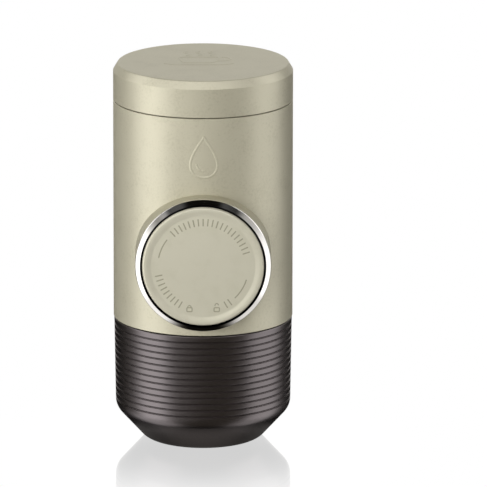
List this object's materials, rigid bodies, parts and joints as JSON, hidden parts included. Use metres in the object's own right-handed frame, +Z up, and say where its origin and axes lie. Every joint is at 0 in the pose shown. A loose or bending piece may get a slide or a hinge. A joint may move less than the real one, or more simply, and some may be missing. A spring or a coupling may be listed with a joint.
{
  "type": "portable espresso maker",
  "caption": "Hand-pumped portable espresso maker: round metal body with a large push cap in a bright ring, flat screw lid, and a ribbed charcoal cup that it stands on.",
  "frame": {"origin": "centre of the cup's flat foot, on the surface that the maker stands on", "axes": "+Z up along the body's axis, -Y out of the push cap, +X to the right of someone who faces the cap"},
  "size_m": [0.062, 0.0699, 0.133],
  "materials": {
    "champagne_aluminium": "fine bead-blasted and anodised, satin",
    "chrome": "polished",
    "charcoal_plastic": "satin charcoal with a faint metallic sheen",
    "black_plastic": "moulded, fine matt",
    "tank_plastic": "smoke grey, moulded",
    "chamber_plastic": "glass-filled, moulded",
    "silicone": "food-grade silicone, matt",
    "steel": "stainless",
    "piston_plastic": "moulded"
  },
  "bodies": {
    "cup": {"cup_shell": "charcoal_plastic", "cup_liner": "black_plastic"},
    "outlet": {"outlet_head": "black_plastic", "extraction_plate": "steel", "spout": "black_plastic"},
    "capsule_seal": {"capsule_gasket": "silicone"},
    "holder": {"capsule_holder": "chamber_plastic"},
    "machine": {"body_shell": "champagne_aluminium", "bezel_ring": "chrome", "water_tank": "tank_plastic", "tank_screen": "steel", "tank_gasket": "silicone", "guide_tube": "black_plastic", "pump_block": "black_plastic", "pump_cylinder": "steel", "rod_gland": "black_plastic", "inlet_valve_cage": "black_plastic", "inlet_valve_seat": "black_plastic", "outlet_valve_cage": "black_plastic", "outlet_valve_seat": "black_plastic", "outlet_spring": "steel", "return_spring": "steel", "lower_collar": "black_plastic", "collar_o_ring": "silicone", "brew_chamber": "chamber_plastic", "manifold_gasket": "silicone", "needle_plate": "steel", "chamber_gasket": "silicone", "chassis_screws": "steel"},
    "pump_piston": {"piston_rod": "steel", "piston_head": "piston_plastic", "piston_o_ring": "silicone", "cap_clip": "steel"},
    "push_cap": {"piston_cap": "champagne_aluminium", "piston_sleeve": "black_plastic"},
    "inlet_check": {"inlet_ball": "silicone"},
    "outlet_check": {"outlet_ball": "steel"},
    "lid_ring": {"lid_seal": "silicone"},
    "lid": {"lid_cover": "champagne_aluminium", "lid_plug": "black_plastic"}
  },
  "joints": [
    {"name": "cup_pull_off", "type": "slide", "parent": "cup", "child": "outlet", "axis": [0, 0, 1], "range_m": [0, 0.05]},
    {"name": "outlet_unscrew", "type": "hinge", "parent": "outlet", "child": "capsule_seal", "pos_m": [0, 0, 0.015], "axis": [0, 0, 1], "range_deg": [0, 90]},
    {"name": "holder_lift", "type": "slide", "parent": "capsule_seal", "child": "holder", "axis": [0, 0, 1], "range_m": [0, 0.03]},
    {"name": "machine_lift", "type": "slide", "parent": "holder", "child": "machine", "axis": [0, 0, 1], "range_m": [0, 0.035]},
    {"name": "pump_stroke", "type": "slide", "parent": "machine", "child": "pump_piston", "axis": [0, -1, 0], "range_m": [0, 0.018], "deforming": ["return_spring"]},
    {"name": "cap_lock_turn", "type": "hinge", "parent": "pump_piston", "child": "push_cap", "pos_m": [0, -0.03, 0.07], "axis": [0, -1, 0], "range_deg": [0, 35]},
    {"name": "inlet_ball_lift", "type": "slide", "parent": "machine", "child": "inlet_check", "axis": [0, 0, 1], "range_m": [0, 0.00045]},
    {"name": "outlet_ball_drop", "type": "slide", "parent": "machine", "child": "outlet_check", "axis": [0, 0, -1], "range_m": [0, 0.0008], "stiffness_N_per_m": 30, "springref_m": -0.001, "deforming": ["outlet_spring"]},
    {"name": "lid_lift", "type": "slide", "parent": "machine", "child": "lid_ring", "axis": [0, 0, 1], "range_m": [0, 0.04]},
    {"name": "lid_turn", "type": "hinge", "parent": "lid_ring", "child": "lid", "pos_m": [0, 0, 0.12], "axis": [0, 0, 1], "range_deg": [0, 120]}
  ]
}
